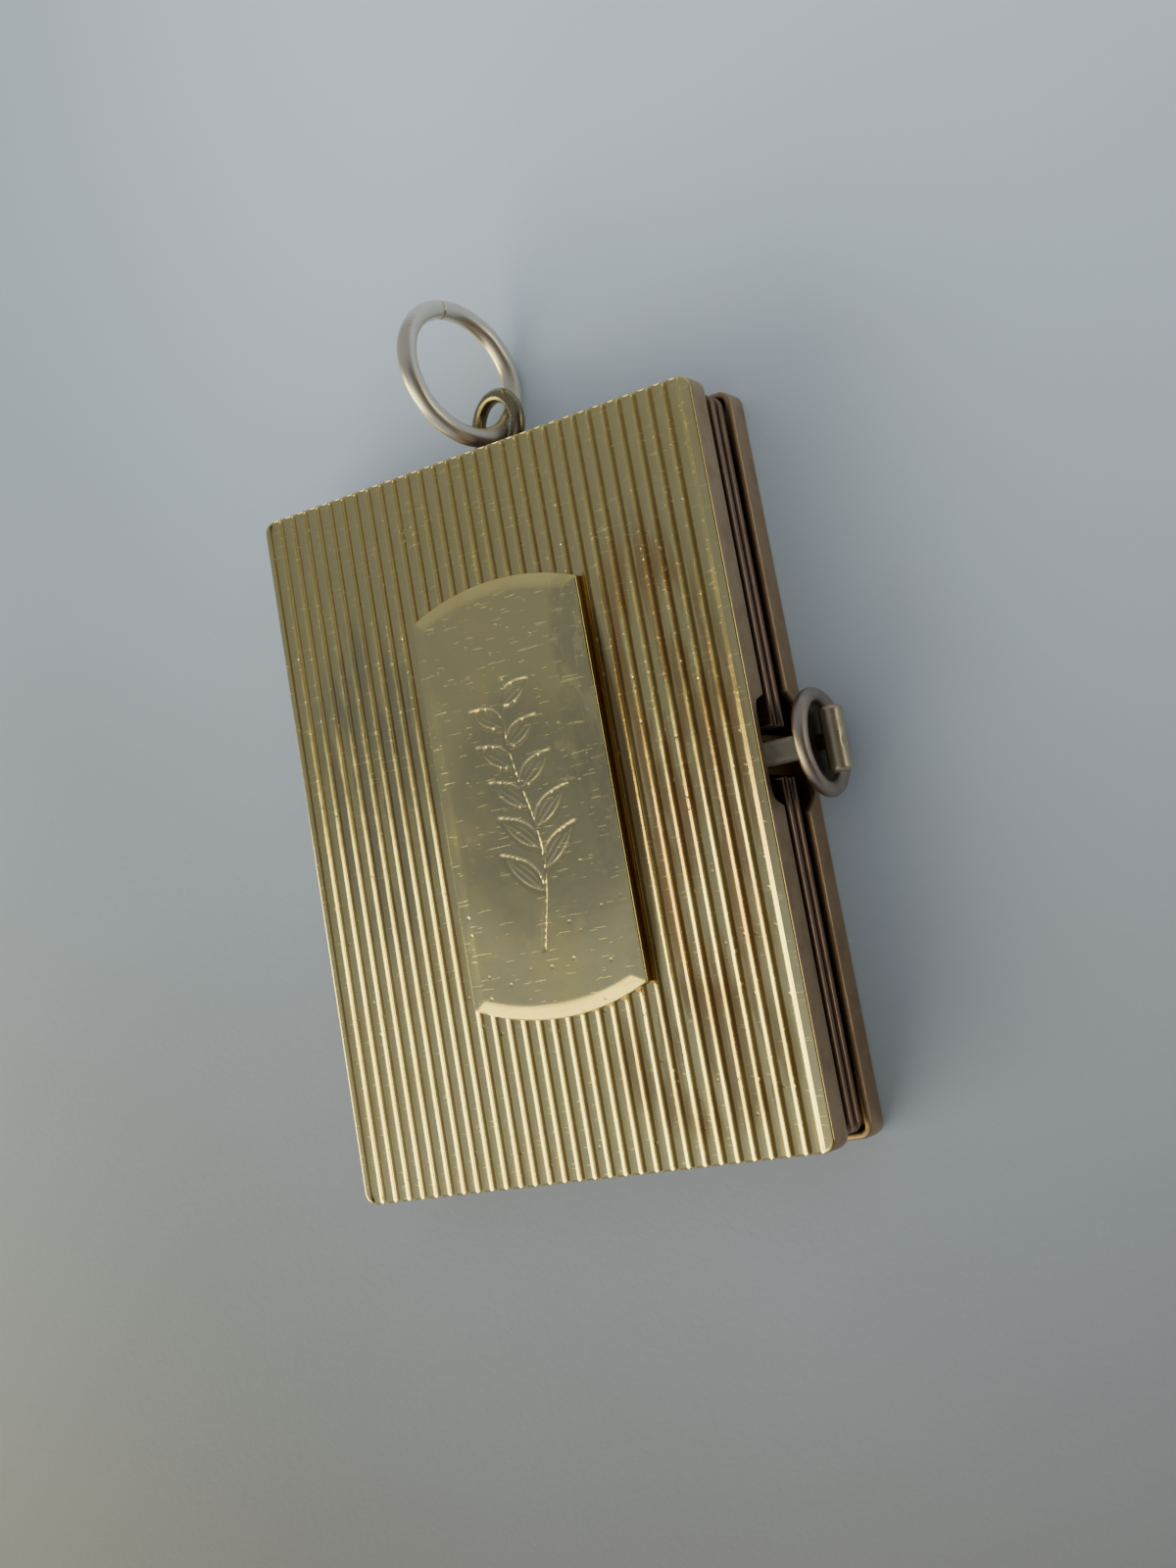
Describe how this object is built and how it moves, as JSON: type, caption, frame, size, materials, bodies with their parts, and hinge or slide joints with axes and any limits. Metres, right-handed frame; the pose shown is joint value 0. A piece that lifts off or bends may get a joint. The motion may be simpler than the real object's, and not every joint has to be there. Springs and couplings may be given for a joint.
{
  "type": "book locket",
  "caption": "Small hinged book-shaped locket with a fluted front cover, arched plate, picture leaves, turn catch on the fore-edge, and an eye and jump ring on top.",
  "frame": {"origin": "centre of the back cover's flat outer face, on which the locket lies", "axes": "+X from the spine to the fore-edge, +Y up the book towards the jump ring, +Z out of the front cover"},
  "size_m": [0.0221, 0.0323, 0.0058],
  "materials": {
    "cover_plain": "worn gold-filled brass, satin with fine scratches",
    "cover_ribbed": "polished gold-filled brass with olive tarnish in the flutes",
    "plate_metal": "polished gold-filled brass with scratches and pits",
    "leaf_metal": "satin brass, darkened at the edges",
    "pin_metal": "plain drawn brass wire",
    "catch_metal": "worn pale gold-filled brass",
    "ring_metal": "polished pale gold-filled wire with file marks"
  },
  "bodies": {
    "case_back": {"back_cover": "cover_plain", "hinge_pin": "pin_metal", "jump_ring": "ring_metal"},
    "case_front": {"front_cover": "cover_ribbed"},
    "leaf_front": {"front_leaf": "leaf_metal"},
    "leaf_rear": {"rear_leaf": "leaf_metal"},
    "catch": {"turn_catch": "catch_metal"}
  },
  "joints": [
    {"name": "cover_hinge", "type": "hinge", "parent": "case_back", "child": "case_front", "pos_m": [-0.0099, 0, 0.0021], "axis": [0, -1, 0], "range_deg": [0, 180]},
    {"name": "front_leaf_hinge", "type": "hinge", "parent": "case_back", "child": "leaf_front", "pos_m": [-0.0099, 0, 0.0021], "axis": [0, -1, 0], "range_deg": [0, 120]},
    {"name": "rear_leaf_hinge", "type": "hinge", "parent": "case_back", "child": "leaf_rear", "pos_m": [-0.0099, 0, 0.0021], "axis": [0, -1, 0], "range_deg": [0, 60]},
    {"name": "catch_turn", "type": "hinge", "parent": "case_back", "child": "catch", "pos_m": [0.00945, 0, 0.0021], "axis": [1, 0, 0], "range_deg": [0, 90]}
  ],
  "couplings": [
    {"joint": "front_leaf_hinge", "follows": "cover_hinge", "ratio": 0.66666},
    {"joint": "rear_leaf_hinge", "follows": "cover_hinge", "ratio": 0.33333}
  ]
}
